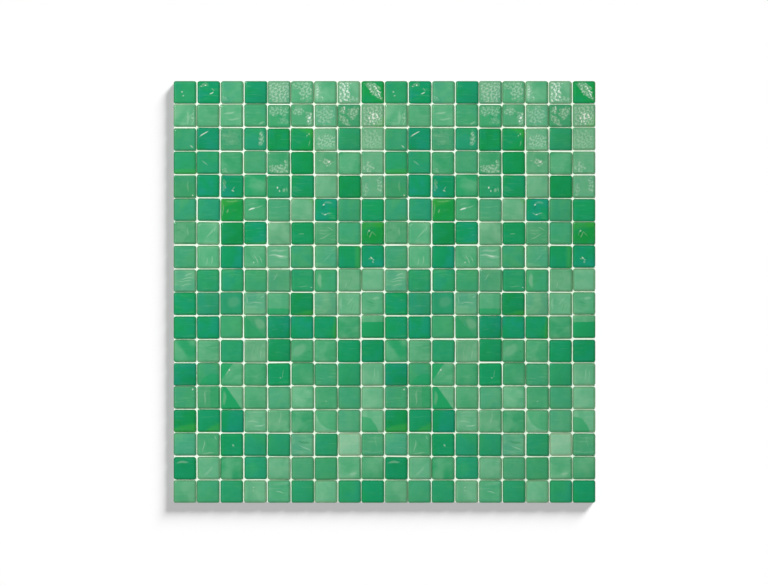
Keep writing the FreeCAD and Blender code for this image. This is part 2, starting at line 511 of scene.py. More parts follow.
# (row, column): [(middle along X, along Y, reach along, across, turn, strength), ...]
PATCHES = {
    (1, 2): [(-0.5, 0.7, 0.5, 0.2, 10, 0.5)],
    (1, 3): [(-0.7, -0.6, 0.3, 0.35, 0, 0.4)],
    (1, 5): [(0.0, 0.0, 1.5, 1.5, 0, 1.0)],
    (1, 6): [(0.35, 0.15, 0.6, 1.2, 0, 0.9), (-0.5, 0.6, 0.5, 0.4, 0, 0.6)],
    (1, 7): [(-0.7, 0.0, 0.4, 1.3, 10, 0.3)],
    (1, 8): [(-0.5, 0.0, 0.65, 1.5, -8, 1.4), (0.1, -0.7, 0.9, 0.4, 0, 0.7)],
    (1, 9): [(0.2, 0.1, 0.45, 1.2, 35, 1.0), (0.0, 0.6, 0.8, 0.25, -25, 0.9)],
    (2, 1): [(0.75, -0.2, 0.2, 0.8, 0, 0.6)],
    (2, 5): [(-0.1, 0.6, 1.4, 0.6, 0, 0.7), (0.4, -0.4, 0.5, 0.4, 0, 0.4)],
    (2, 6): [(-0.4, 0.4, 0.6, 0.4, 20, 0.8), (0.7, -0.35, 0.4, 0.7, 10, 1.0)],
    (2, 7): [(-0.15, 0.0, 0.9, 1.0, 0, 0.6)],
    (2, 8): [(0.45, 0.35, 0.8, 0.5, 40, 0.9), (-0.45, -0.45, 1.0, 0.3, -45, 0.8),
             (-0.6, 0.6, 0.3, 0.5, 0, 0.8)],
    (2, 9): [(0.0, 0.0, 1.5, 1.5, 0, 0.8), (0.15, -0.1, 0.6, 0.65, 0, 1.6)],
    (3, 3): [(-0.1, 0.2, 0.9, 0.7, 0, 0.2)],
    (3, 4): [(0.55, 0.0, 0.25, 0.8, 0, 0.8)],
    (3, 7): [(0.0, -0.1, 1.1, 0.7, 0, 0.8)],
    (3, 9): [(-0.2, 0.0, 1.1, 1.1, 0, 0.5)],
    (4, 3): [(-0.7, -0.7, 0.35, 0.3, 0, 0.4)],
    (4, 5): [(0.0, -0.6, 1.0, 0.45, 0, 0.9), (0.75, -0.1, 0.2, 0.6, 0, 0.8)],
    (4, 7): [(0.1, 0.1, 0.7, 0.35, -15, 0.9)],
    (4, 9): [(-0.4, -0.5, 0.5, 0.55, 0, 0.8)],
    (5, 3): [(-0.8, 0.2, 0.2, 0.6, 0, 0.4)],
    (5, 9): [(0.65, 0.2, 0.25, 0.9, 0, 0.6), (-0.65, -0.3, 0.3, 0.6, 0, 0.5)],
}


def in_ellipse(u, v, ellipse):
    """How far inside an ellipse each point lies: 1 at its middle, 0 on its border and below 0 outside."""
    middle_u, middle_v, reach_along, reach_across, turn = ellipse
    angle = math.radians(turn)
    du, dv = u - middle_u, v - middle_v
    along = (du * math.cos(angle) + dv * math.sin(angle)) / reach_along
    across = (dv * math.cos(angle) - du * math.sin(angle)) / reach_across
    return 1 - np.hypot(along, across)


def smooth(share):
    """Goes smoothly from 0 to 1 as the share does."""
    share = np.clip(share, 0, 1)
    return share * share * (3 - 2 * share)


def bent_wave(along, across, rate, bend, bend_rate):
    """A wave that runs one way, and is bent by another that runs across it."""
    return np.sin(along * rate + bend * np.sin(across * bend_rate))


def patch_mask(u, v, patches, x, y, shift):
    """How wrinkled each point is, from 0 up: the strongest of the soft ellipses, with a ragged border."""
    ragged = PATCH_RAGGED * bent_wave(x + shift[1], y + shift[0], rate=0.9, bend=1.7, bend_rate=0.7)
    ragged = ragged * bent_wave(y + shift[1], x - shift[0], rate=1.1, bend=1.3, bend_rate=0.8)
    mask = np.zeros(u.shape)
    for *ellipse, strength in patches:
        inside = in_ellipse(u, v, ellipse) + PATCH_MARGIN + ragged
        mask = np.maximum(mask, strength * smooth(inside / PATCH_BORDER))
    rim = np.clip((1 - np.maximum(np.abs(u), np.abs(v))) / BARE_RIM, 0, 1)
    return mask * rim


print("wrinkled chips in a batch:", len(PATCHES))

# %% [markdown]
# Other chips carry marks in their glass: white slashes and specks, pale streaks where the gob was drawn
# out, and a few dark smears. They are flat, so they need no relief, only a value at each point of a fine
# grid. A mark is an ellipse, mostly a long thin one, given like a patch. Its strength is above 0 for pale
# glass and below 0 for dark glass. It wavers a little, because nothing drawn out of hot glass is straight.

# %% Marks
MARK_CELLS = 36
MARK_WAVER = 0.04
MARK_WAVER_RATE = 5
MARK_BORDER = 0.6
# (row, column): [(middle along X, along Y, reach along, across, turn, strength), ...]
MARKS = {
    (1, 1): [(-0.3, 0.05, 0.12, 0.09, 0, 1.0), (-0.12, -0.3, 0.13, 0.08, 30, 0.9)],
    (1, 2): [(0.3, -0.05, 0.34, 0.07, 25, 1.0), (0.45, 0.3, 0.3, 0.05, -50, 0.5),
             (-0.72, 0.62, 0.11, 0.08, 20, 1.0), (-0.38, 0.66, 0.16, 0.07, -20, 0.9)],
    (1, 7): [(-0.8, 0.1, 1.1, 0.3, 90, 0.7), (-0.25, -0.55, 0.2, 0.05, -60, 0.9)],
    (1, 8): [(-0.5, 0.3, 0.35, 0.7, 10, 0.45)],
    (1, 9): [(0.25, 0.55, 0.8, 0.06, -35, 0.8), (0.5, 0.2, 0.7, 0.07, -50, 0.9),
             (0.65, -0.3, 0.6, 0.07, -72, 0.9), (-0.2, 0.2, 0.7, 0.05, -35, 0.5)],
    (2, 1): [(0.3, -0.2, 0.9, 0.2, 88, 0.35)],
    (2, 3): [(-0.2, 0.25, 0.8, 0.14, 12, 0.55), (0.2, -0.35, 0.8, 0.12, 5, 0.45)],
    (2, 4): [(0.6, -0.75, 0.4, 0.16, 20, 0.4)],
    (2, 6): [(0.72, -0.25, 0.5, 0.14, 78, 0.9)],
    (2, 8): [(-0.5, 0.65, 0.35, 0.1, 80, 0.9)],
    (2, 9): [(0.05, -0.05, 0.25, 0.6, -10, 0.6)],
    (3, 1): [(0.62, -0.72, 0.25, 0.08, -45, 0.9)],
    (3, 2): [(-0.5, 0.42, 0.55, 0.08, 38, 1.0), (-0.15, 0.7, 0.25, 0.06, 30, 0.9)],
    (3, 5): [(-0.25, 0.0, 1.0, 0.16, 90, -0.4)],
    (3, 6): [(0.5, 0.4, 0.08, 0.08, 0, 0.9), (0.66, 0.55, 0.08, 0.14, 0, 0.8),
             (0.7, -0.35, 0.4, 0.07, 70, 0.4)],
    (4, 2): [(-0.3, -0.05, 0.5, 0.09, -45, 0.4)],
    (4, 4): [(0.22, 0.15, 0.08, 0.1, 0, -0.9)],
    (4, 7): [(0.2, 0.1, 0.25, 0.12, -25, 0.9)],
    (5, 1): [(0.78, -0.82, 0.1, 0.1, 0, 1.0), (0.3, 0.0, 0.8, 0.12, 90, 0.25)],
    (5, 3): [(0.1, -0.45, 0.2, 0.09, -30, 0.8), (0.16, -0.22, 0.25, 0.08, 60, 0.4)],
    (5, 5): [(-0.1, -0.1, 0.16, 0.1, 70, 1.1), (0.05, -0.45, 0.14, 0.1, 80, 0.9),
             (0.5, -0.35, 0.3, 0.16, 60, 0.6), (0.4, -0.05, 0.14, 0.12, 0, -0.6),
             (0.22, -0.3, 0.14, 0.2, 0, -0.6), (0.78, -0.25, 0.3, 0.08, 90, 0.5)],
    (6, 3): [(-0.45, -0.1, 0.28, 0.12, 80, 0.4), (0.0, 0.84, 0.9, 0.07, 0, 0.4),
             (-0.9, 0.0, 0.9, 0.07, 90, 0.4)],
    (6, 4): [(-0.4, 0.02, 0.45, 0.1, 17, 1.3), (0.25, 0.25, 0.7, 0.09, 14, 0.4),
             (-0.3, 0.5, 0.6, 0.1, 12, 0.25)],
    (6, 7): [(-0.35, -0.36, 0.3, 0.06, -30, 0.5), (0.15, -0.4, 0.4, 0.07, 20, 0.55),
             (-0.1, -0.48, 0.14, 0.09, 0, 0.8), (-0.2, 0.5, 0.14, 0.11, 40, 1.0),
             (0.2, 0.7, 0.6, 0.16, 0, 0.3), (-0.25, 0.25, 0.3, 0.14, 30, -0.7)],
    (7, 1): [(-0.55, 0.3, 0.35, 0.1, 15, -0.7), (-0.25, 0.05, 0.4, 0.1, -30, -0.4),
             (0.3, 0.1, 0.6, 0.12, 90, 0.3)],
    (7, 2): [(0.2, 0.0, 0.9, 0.12, 48, 0.4), (0.7, 0.5, 0.5, 0.06, 70, 0.5),
             (-0.8, 0.8, 0.3, 0.08, 45, 0.4)],
    (7, 6): [(-0.1, -0.08, 0.38, 0.05, 2, 0.6)],
    (7, 7): [(-0.05, -0.3, 1.0, 0.05, 27, 0.7), (0.4, 0.45, 0.5, 0.05, -34, 0.6),
             (-0.3, 0.3, 0.6, 0.06, 3, 0.4), (-0.3, 0.0, 0.6, 0.05, 3, 0.4)],
    (7, 9): [(-0.45, 0.05, 0.4, 0.07, 75, 0.4), (-0.2, -0.1, 0.45, 0.08, 60, 0.5),
             (0.15, -0.05, 0.45, 0.06, -50, 0.35), (-0.33, 0.28, 0.12, 0.1, 60, 0.9),
             (-0.33, -0.02, 0.16, 0.2, 0, -0.8)],
    (8, 2): [(0.35, -0.3, 0.6, 0.12, 82, 0.4), (-0.15, -0.4, 0.6, 0.09, 84, 0.35)],
    (8, 4): [(0.1, -0.2, 0.8, 0.09, -65, 0.5), (0.45, -0.1, 0.75, 0.08, -68, 0.5),
             (-0.2, 0.0, 0.5, 0.07, -60, 0.35), (0.3, 0.3, 0.6, 0.08, -65, -0.4),
             (-0.15, -0.5, 0.12, 0.12, 0, 0.8)],
    (8, 5): [(0.0, 0.62, 1.1, 0.16, 3, 0.45), (-0.2, 0.16, 1.1, 0.12, -4, 0.7),
             (0.3, 0.0, 0.9, 0.2, -2, 0.4)],
    (8, 7): [(0.1, -0.1, 0.9, 0.1, 50, 0.25)],
    (8, 9): [(-0.15, -0.15, 0.18, 0.1, -50, 1.0), (0.02, -0.3, 0.12, 0.1, 30, 0.7),
             (0.0, -0.52, 0.12, 0.12, 0, 0.7), (-0.32, -0.25, 0.2, 0.08, 0, 0.5),
             (0.25, -0.1, 0.16, 0.14, 0, -0.6)],
    (9, 1): [(0.35, 0.6, 0.6, 0.07, 24, 0.6), (0.2, 0.24, 0.9, 0.07, 7, 0.7),
             (0.0, -0.02, 0.9, 0.06, 2, 0.5), (0.2, -0.4, 0.8, 0.07, 8, 0.5),
             (0.0, 0.1, 0.9, 0.04, 3, -0.4)],
    (9, 5): [(-0.4, 0.35, 0.6, 0.07, 50, 0.4), (-0.2, 0.2, 0.5, 0.06, 48, -0.3)],
    (9, 6): [(0.85, -0.68, 0.1, 0.07, 0, 1.0), (0.1, -0.6, 0.8, 0.07, 0, 0.3)],
    (9, 7): [(-0.6, 0.0, 1.0, 0.3, 95, 0.4)],
    (9, 8): [(0.05, -0.1, 0.8, 0.1, 75, -0.3), (-0.35, -0.5, 0.4, 0.07, 80, 0.4),
             (0.05, 0.62, 0.08, 0.12, 0, -0.5)],
    (10, 3): [(0.2, 0.15, 0.9, 0.8, 0, 0.2)],
    (10, 4): [(0.0, 0.1, 1.0, 0.07, 3, 0.55), (-0.82, 0.4, 0.5, 0.1, 90, 0.4),
              (0.75, 0.7, 0.3, 0.1, 20, 0.4)],
    (10, 8): [(0.25, -0.35, 0.6, 0.07, 68, -0.6), (0.5, -0.5, 0.5, 0.06, 60, -0.5),
              (0.1, 0.3, 0.7, 0.09, 55, 0.35), (-0.8, 0.0, 0.9, 0.15, 90, 0.35)],
    (10, 9): [(-0.2, 0.12, 0.7, 0.07, -14, -0.7), (0.1, -0.2, 0.7, 0.06, -20, -0.5),
              (-0.35, -0.55, 0.4, 0.07, -10, -0.7), (0.3, 0.5, 0.5, 0.2, 0, 0.35)],
    (11, 4): [(0.45, 0.35, 0.9, 0.6, -50, 0.3)],
    (12, 4): [(0.5, -0.3, 0.6, 0.06, 75, 0.5), (0.35, 0.3, 0.5, 0.12, 80, -0.35),
              (-0.3, 0.0, 0.9, 0.1, 80, 0.25)],
    (12, 6): [(0.65, -0.05, 0.14, 0.12, 0, -1.0), (0.2, -0.6, 0.6, 0.1, -8, -0.4),
              (-0.3, 0.1, 1.2, 0.7, 35, 0.3)],
    (13, 3): [(-0.35, 0.35, 0.7, 0.06, 55, 0.6), (-0.2, 0.45, 0.12, 0.08, 60, 1.0)],
    (13, 5): [(0.4, 0.1, 0.6, 0.04, 75, 0.4), (0.1, -0.3, 0.1, 0.07, 0, 0.8)],
    (13, 9): [(-0.1, 0.0, 0.9, 0.06, 78, -0.3), (0.15, 0.0, 0.9, 0.06, 80, 0.4),
              (0.5, 0.0, 0.8, 0.05, 85, 0.3)],
    (14, 1): [(0.72, 0.82, 0.1, 0.12, 0, 1.0)],
    (14, 2): [(-0.35, 0.0, 1.0, 0.12, 88, 0.4)],
    (14, 3): [(-0.75, 0.0, 1.0, 0.25, 90, 0.3)],
    (14, 7): [(-0.3, -0.45, 0.4, 0.07, 5, -0.6), (0.0, -0.35, 0.15, 0.06, 20, 0.6)],
    (15, 4): [(0.0, 0.35, 0.8, 0.14, -3, -0.3), (-0.2, -0.05, 0.9, 0.08, -9, 0.5),
              (0.35, -0.45, 0.7, 0.07, 10, 0.8), (-0.2, 0.8, 0.8, 0.08, 0, 0.35)],
    (15, 5): [(0.1, 0.3, 0.9, 0.15, 80, 0.3)],
    (16, 2): [(-0.45, -0.1, 0.8, 0.07, 82, 0.55), (0.72, 0.7, 0.3, 0.1, -60, 0.4),
              (0.0, -0.85, 0.9, 0.07, 3, 0.5), (-0.1, 0.0, 0.8, 0.07, 86, -0.35)],
    (16, 3): [(0.15, -0.02, 0.13, 0.15, 0, 0.7)],
    (16, 6): [(0.15, 0.25, 0.8, 0.15, -12, -0.9), (0.3, -0.3, 0.9, 0.08, -28, 0.5),
              (-0.2, 0.7, 0.9, 0.1, -8, -0.35)],
    (16, 9): [(0.3, 0.3, 0.9, 0.1, 100, 0.2)],
    (17, 1): [(-0.2, 0.6, 0.8, 0.16, 5, 0.4)],
    (17, 2): [(0.0, -0.3, 0.9, 0.2, 50, 0.3), (0.3, 0.82, 0.2, 0.05, -20, -0.5)],
    (17, 8): [(0.35, -0.55, 0.5, 0.2, 0, 0.4)],
    (18, 4): [(-0.15, 0.42, 0.09, 0.09, 0, 0.8), (-0.15, 0.1, 0.09, 0.09, 0, 0.7),
              (0.0, 0.25, 0.06, 0.2, 0, -0.4)],
    (18, 5): [(0.0, -0.05, 0.5, 0.07, -18, 0.7), (0.4, -0.15, 0.4, 0.05, 10, 0.4)],
}


def mark_field(u, v, marks, shift):
    """The marks at points, pale above 0 and dark below: the sum of soft ellipses, on places that waver."""
    u = u + MARK_WAVER * np.sin(MARK_WAVER_RATE * v + shift[0])
    v = v + MARK_WAVER * np.sin(MARK_WAVER_RATE * u + shift[1])
    field = np.zeros(u.shape)
    for *ellipse, strength in marks:
        field += strength * smooth(in_ellipse(u, v, ellipse) / MARK_BORDER)
    return field


print("marked chips in a batch:", len(MARKS), "of which wrinkled too:", len(set(MARKS) & set(PATCHES)))

# %% [markdown]
# Now the points. They are worked out for many chips at once, as arrays with a line for each chip. The face
# comes first. Between its corners' inner ends and its arris it already starts to sink, as the skin of
# pressed glass does. The chips fell into their tray either way round, so the relief is looked up at the
# places that the points have once the chip is turned by its quarters. How far a point lies from the outline
# goes along for the material.

# %% The points of the faces
RIM_DROP = 0.28 * MM
QUARTER = math.pi / 2


def turned(x, y, angle):
    """Points turned about the origin. The angles are given for each chip."""
    angle = angle.reshape((-1,) + (1,) * (x.ndim - 1))
    return x * np.cos(angle) - y * np.sin(angle), x * np.sin(angle) + y * np.cos(angle)


def face_points(size, inner, cells, quarter, relief):
    """The grid of the faces. It sinks by the square of how far it has come past the corners' inner ends.

    The function relief(u, v, x, y) gives the depth of the wrinkles, how wrinkled the skin is, and the
    glass's marks together with the painted highlight on the crests and the painted shade in the hollows.
    """
    lines_x, lines_y = (grid_lines(share, cells) for share in inner)
    u = np.repeat(lines_x, lines_y.shape[1], axis=1)
    v = np.tile(lines_y, (1, lines_x.shape[1]))
    x, y, _, _ = pressed(u, v, *size)
    past_x = (np.abs(u) - inner[0][:, None]) / (1 - inner[0][:, None])
    past_y = (np.abs(v) - inner[1][:, None]) / (1 - inner[1][:, None])
    past = np.clip(np.maximum(past_x, past_y), 0, 1)
    place_x, place_y = turned(x, y, quarter * QUARTER)
    dip, skin, mark_and_relief_shading = relief(place_x / size[0], place_y / size[1], place_x / MM, place_y / MM)
    z = face_z - RIM_DROP * past ** 2 - WRINKLE_DEPTH * dip
    return x, y, z, skin, mark_and_relief_shading, ARRIS + (1 - past) * size[2]


print("the rim of a face is sunk in mm by:", round(RIM_DROP / MM, 2))

# %% [markdown]
# Below the face lie rings of points: two for the arris and one for the foot of the flanks, where the ribs
# of the back come out. All of them are the rim of the face, moved out or in and down. Last, all points are
# turned and shifted to their chip's place on the sheet.

# %% The points of many chips at once
RIB_DEPTH = 0.25 * MM


def rise_of_ribs():
    """How far each point of the foot is lifted off the back, once round: every other one at the ribs."""
    near = np.zeros(RIBBED_SIDE)
    near[CORNER_LINES + 1:RIB_STEPS + CORNER_LINES:2] = RIB_DEPTH
    far = np.roll(near[::-1], 1)
    return np.concatenate([near, np.zeros(PLAIN_SIDE), far, np.zeros(PLAIN_SIDE)])


def ring_points(size, inner, cells, reach, z, rim):
    """The rim of the faces, moved out by the reach, at this height and this far in from the outline."""
    u, v = round_the_rim(grid_lines(inner[0], cells[0]), grid_lines(inner[1], cells[1]))
    x, y, out_x, out_y = pressed(u, v, *size)
    bare = np.zeros_like(x)
    return x + out_x * reach, y + out_y * reach, np.broadcast_to(z, x.shape), bare, bare, bare + rim


def chip_points(chips, quarter, cells, relief):
    """Points of chips with these cells: the face's grid, the rings of the arris and the foot.

    They are given as (chip, point, xyz), with each point's place on its own chip, unturned by the laying
    but turned by the quarters, its skin, its marks with the wrinkles' painted highlight and shade, and its
    distance in from the outline.
    """
    swap = quarter % 2 == 1
    half_x = np.where(swap, chips[:, HALF_Y], chips[:, HALF_X]) - ARRIS
    half_y = np.where(swap, chips[:, HALF_X], chips[:, HALF_Y]) - ARRIS
    radius = chips[:, RADIUS] - ARRIS
    size = (half_x[:, None], half_y[:, None], radius[:, None])
    inner = (1 - radius / half_x, 1 - radius / half_y)

    parts = [face_points(size, inner, cells, quarter, relief)]
    for angle in ARRIS_STEPS:
        reach = ARRIS * math.sin(angle)
        depth = ARRIS * (1 - math.cos(angle))
        parts.append(ring_points(size, inner, (cells, cells), reach, face_z - depth, ARRIS - reach))
    rise = rise_of_ribs()
    foot_reach = reach - FLANK_LEAN * (face_z - depth - back_z - rise)
    parts.append(ring_points(size, inner, (RIB_STEPS, 1), foot_reach, back_z + rise, 0.0))

    x, y, z, skin, mark_and_relief_shading, rim = (np.concatenate(values, axis=1) for values in zip(*parts))
    place_x, place_y = turned(x, y, quarter * QUARTER)
    sheet_x, sheet_y = turned(place_x, place_y, chips[:, TURN])
    points = np.stack([sheet_x + chips[:, None, MIDDLE_X], sheet_y + chips[:, None, MIDDLE_Y], z], axis=-1)
    place = np.stack([place_x, place_y, face_z - z], axis=-1) / MM
    return points, place, skin, mark_and_relief_shading, rim / MM


print("grooves in the back of a chip:", int((rise_of_ribs() > 0).sum()) // 2)

# %% [markdown]
# What a chip is pressed with differs from chip to chip, so it is looked up by the chip's row and column in
# its batch. A wrinkled chip gets the finest grid, a marked one a fine grid, and a smooth one a single cell,
# so that the points go where they show.

# %% The relief and the grid of each chip
def relief_of(number, batch):
    """The relief of some chips of a row, as a function of the places on them, for chip_points."""
    def relief(u, v, x, y):
        dips, skins, marks = np.zeros(u.shape), np.zeros(u.shape), np.zeros(u.shape)
        for chip, column in enumerate(batch):
            spot, shift = (number + 1, column + 1), flow_shift[number, column]
            if spot in PATCHES:
                skins[chip] = patch_mask(u[chip], v[chip], PATCHES[spot], x[chip], y[chip], shift)
                crest = worms(x[chip], y[chip], shift)
                dips[chip] = skins[chip] * (1 - crest)
                # painted highlight on the crests and painted shade in the hollows, on top of the real
                # relief
                marks[chip] = skins[chip] * (WRINKLE_CREST_HIGHLIGHT * crest - WRINKLE_HOLLOW_SHADE * (1 - crest))
            marks[chip] += mark_field(u[chip], v[chip], MARKS.get(spot, []), shift)
        return dips, skins, marks
    return relief


def cells_of(spot):
    """How many cells the face of a chip needs between its corners."""
    if spot in PATCHES:
        return WRINKLE_CELLS
    return MARK_CELLS if spot in MARKS else 1


smooth_chips = glass_of.size - len(set(MARKS) | set(PATCHES))
print("smooth chips in a batch:", smooth_chips)

# %% [markdown]
# What the material has to know about a chip goes along as attributes on its points. Blender keeps a number,
# a vector and a colour as different kinds, so a small helper picks the kind by how many values there are
# for a point. Another adds a finished mesh, shaded smooth except at its real edges.

# %% Meshes and their attributes
CHIP_SHARP_ANGLE = math.radians(50)
ATTRIBUTE_KINDS = {1: ("FLOAT", "value"), 3: ("FLOAT_VECTOR", "vector"), 4: ("FLOAT_COLOR", "color")}


def add_piece(name, points, faces, sharp_angle):
    """Adds a mesh that is smooth, except where it turns by more than the sharp angle."""
    mesh = bpy.data.meshes.new(name)
    mesh.from_pydata(points, [], faces)
    mesh.shade_smooth()
    mesh.set_sharp_from_angle(angle=sharp_angle)
    return add_object(name, mesh)


def set_attribute(mesh, name, values):
    """Writes one value, vector or colour for each point of a mesh."""
    values = values.reshape(len(values), -1)
    kind, field = ATTRIBUTE_KINDS[values.shape[1]]
    attribute = mesh.attributes.new(name, kind, "POINT")
    attribute.data.foreach_set(field, np.ascontiguousarray(values, dtype=np.float32).ravel())


def with_alpha(colours):
    """Colours with a fourth value of one."""
    return np.concatenate([colours, np.ones(colours.shape[:-1] + (1,))], axis=-1)


print("kinds of attributes:", [kind for kind, _ in ATTRIBUTE_KINDS.values()])

# %% [markdown]
# A row is one piece, as it is one node of the frame. It is joined from its smooth, its marked and its
# wrinkled chips. Its attributes say where on its chip a point lies, how far it is from the outline, how the
# noise is shifted there, the two colours of the glass, the crease and its depth, the tinge, the marks
# together with the painted highlight and shade of the wrinkles, how wrinkled the skin is, and how streaky
# the glass is.

# %% Build the rows
def build_row(number):
    """The chips of one row as one mesh, with the attributes that the glass reads."""
    batch_column = np.arange(CHIPS_PER_ROW) % BATCH_COLUMNS
    row_cells = np.array([cells_of((number + 1, column + 1)) for column in batch_column.tolist()])
    points, faces, attributes = [], [], {}
    start = 0
    for cells in np.unique(row_cells):
        mine = np.flatnonzero(row_cells == cells)
        batch = batch_column[mine]
        relief = relief_of(number, batch)
        chips, quarter = laid[number, mine], quarters[number, batch]
        xyz, place, skin, mark_and_relief_shading, rim = chip_points(chips, quarter, cells, relief)
        count = xyz.shape[1]
        offsets = start + count * np.arange(len(mine))
        for table in chip_faces(cells):
            faces += (table[None] + offsets[:, None, None]).reshape(-1, table.shape[1]).tolist()
        start += count * len(mine)
        points.append(xyz.reshape(-1, 3))
        carried = {
            "flow": place + flow_shift[number, batch][:, None],
            "place": place,
            "skin": skin,
            "mark_and_relief_shading": mark_and_relief_shading,
            "rim": rim,
            "glass": with_alpha(glass_colour[number, batch]),
            "swirl": with_alpha(swirl_colour[number, batch]),
            "crease": crease[number, batch],
            "crease_depth": crease_depth[number, batch],
            "tinge": tinge[number, batch],
            "streaks": streaks[number, batch],
        }
        for name, values in carried.items():
            if values.shape[1:2] != (count,):
                values = np.repeat(values[:, None], count, axis=1)
            attributes.setdefault(name, []).append(values.reshape((-1,) + values.shape[2:]))

    row = add_piece("glass_row_%02d" % (number + 1), np.concatenate(points), faces, CHIP_SHARP_ANGLE)
    for name, parts in attributes.items():
        set_attribute(row.data, name, np.concatenate(parts))
    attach(row, "root")
    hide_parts(row_names[number])
    return row


glass_rows = [build_row(number) for number in range(CHIPS_PER_ROW)]
row_triangles = [sum(len(face.vertices) - 2 for face in row.data.polygons) for row in glass_rows]
print("triangles in the rows:", sum(row_triangles), "at most in one:", max(row_triangles))

# %% [markdown]
# Materials are built from nodes. A few small helpers keep that short: they add a node and join or set its
# inputs, do a sum on masks, mix two colours, and lay a tint on a body colour.

# %% Helpers for materials
def node(tree, kind, inputs=None, **settings):
    """Adds a shader node. Each input takes a value, or the output of another node."""
    made = tree.nodes.new("ShaderNode" + kind)
    for name, value in settings.items():
        setattr(made, name, value)
    for name, value in (inputs or {}).items():
        if isinstance(value, bpy.types.NodeSocket):
            tree.links.new(value, made.inputs[name])
        else:
            made.inputs[name].default_value = value
    return made


def maths(tree, operation, *values):
    """The result of a Math node."""
    return node(tree, "Math", dict(enumerate(values)), operation=operation).outputs[0]


def soft_step(tree, value, low, high):
    """A mask that goes smoothly from 0 at low to 1 at high. It falls where high is the smaller one."""
    inputs = {"Value": value, "From Min": low, "From Max": high}
    return node(tree, "MapRange", inputs, interpolation_type="SMOOTHSTEP").outputs["Result"]


def mixed(tree, mask, first, second, blend="MIX"):
    """The first colour where the mask is 0 and the second where it is 1."""
    made = node(tree, "Mix", {0: mask, 6: first, 7: second}, data_type="RGBA", blend_type=blend)
    return made.outputs[2]


def attribute(tree, name, output="Fac"):
    """A named attribute of the surface, read as a number, a Vector or a Color."""
    return node(tree, "Attribute", attribute_name=name).outputs[output]


def colour(values):
    """A colour with its alpha, as a node's input wants it."""
    return (*(float(value) for value in values), 1.0)


def laid_on(tree, body, mask, tint, strength=1.0, blend="MIX"):
    """The body colour with a tint laid on where the mask is 1, at the given strength."""
    if strength != 1.0:
        mask = maths(tree, "MULTIPLY", mask, strength)
    return mixed(tree, mask, body, colour(tint), blend)


def new_material(name, **finish):
    """A material with a Principled BSDF, whose steady values are given by the sockets' names."""
    material = bpy.data.materials.new(name)
    material.use_nodes = True
    shader = material.node_tree.nodes["Principled BSDF"]
    for socket, value in finish.items():
        shader.inputs[socket.replace("_", " ")].default_value = value
    return material, material.node_tree, shader


print("milk as a shader takes it:", np.round(colour(GLASSES["milk"]), 2).tolist())

# %% [markdown]
# Glass, filler and yarn all have an uneven tone, only at other sizes. So the unevenness is one node group,
# a mottle: noise that is turned into a mask with a soft border. Its scale counts patches for each
# millimetre.

# %% A mottle for every material
MOTTLE_DEFAULTS = {"Scale": 1.0, "Detail": 2.0, "Distortion": 0.0, "Low": 0.4, "High": 0.6}


def build_mottle():
    """The node group that turns noise into a soft-edged mask."""
    group = bpy.data.node_groups.new("mottle", "ShaderNodeTree")
    group.interface.new_socket("Vector", in_out="INPUT", socket_type="NodeSocketVector")
    for name, value in MOTTLE_DEFAULTS.items():
        socket = group.interface.new_socket(name, in_out="INPUT", socket_type="NodeSocketFloat")
        socket.default_value = value
    group.interface.new_socket("Mask", in_out="OUTPUT", socket_type="NodeSocketFloat")
    given = group.nodes.new("NodeGroupInput").outputs
    inputs = {name: given[name] for name in ("Vector", "Scale", "Detail", "Distortion")}
    noise = node(group, "TexNoise", inputs)
    mask = soft_step(group, noise.outputs[0], given["Low"], given["High"])
    result = group.nodes.new("NodeGroupOutput")
    group.links.new(mask, result.inputs["Mask"])
    return group


mottle_group = build_mottle()


def mottle(tree, vector, **values):
    """The mask of a mottle. The values are given by the names of the group's inputs."""
    made = node(tree, "Group", node_tree=mottle_group)
    for name, value in {**MOTTLE_DEFAULTS, **values}.items():
        made.inputs[name].default_value = value
    tree.links.new(vector, made.inputs["Vector"])
    return made.outputs["Mask"]


print("sockets of the mottle:", [socket.name for socket in mottle_group.interface.items_tree])

# %% [markdown]
# The glass is opaque, so its colour can be laid on like paint, in the order in which it is made: the melt
# with clouds of another glass stirred in, streaks where the gob was drawn out, the tinge, the crease, the
# marks and wrinkles, and last the arris and the flank beside it. The wrinkles get a painted sheen, a
# painted highlight on their crests and painted shade in their hollows. The rim of the face and the arris
# get painted shade, and the flank is painted paler, as light through the glass would make it. Some tints
# cover what lies under them, and others only darken it, as a filter does.

# %% The colours laid on the glass
YELLOW_GREEN = linear(68, 174, 56)
# painted sheen: the paler tone that the wrinkled patches get from catching the lamp
WRINKLE_SHEEN = linear(176, 210, 186)
# Veil, slash and smear are the glass's own marks, and on wrinkled chips also a painted highlight on the
# crests and painted shade in the hollows.
VEIL_AND_HIGHLIGHT = linear(170, 210, 180)
SLASH_AND_GLINT = linear(228, 242, 230)
# painted light: the flank is made paler, as light coming through the glass would make it
FLANK_PAINTED_LIGHT = linear(96, 210, 145)
DEEPER = (0.45, 0.88, 0.76)  # a filter: what is left of red, green and blue where the glass is deepest
SMEAR_AND_SHADE = (0.35, 0.72, 0.5)  # a filter
# painted shade along the rim of the face and over the arris
RIM_SHADE = (1.0, 0.77, 0.72)  # a filter
WAVER = 0.7  # how far the clouds push the border of a crease or a tinge, in millimetres
TINGE_BORDER = 3.0
CREASE_BORDER = 0.8


def circle_mask(tree, place, name, border, waver):
    """1 inside the circle that the named attribute gives, with a border of this width in millimetres."""
    circle = node(tree, "SeparateXYZ", {0: attribute(tree, name, "Vector")})
    across = maths(tree, "SUBTRACT", place.outputs[0], circle.outputs[0])
    along = maths(tree, "SUBTRACT", place.outputs[1], circle.outputs[1])
    squares = maths(tree, "MULTIPLY_ADD", along, along, maths(tree, "MULTIPLY", across, across))
    beyond = maths(tree, "SUBTRACT", maths(tree, "SQRT", squares), circle.outputs[2])
    return soft_step(tree, maths(tree, "ADD", beyond, waver), border, 0.0)


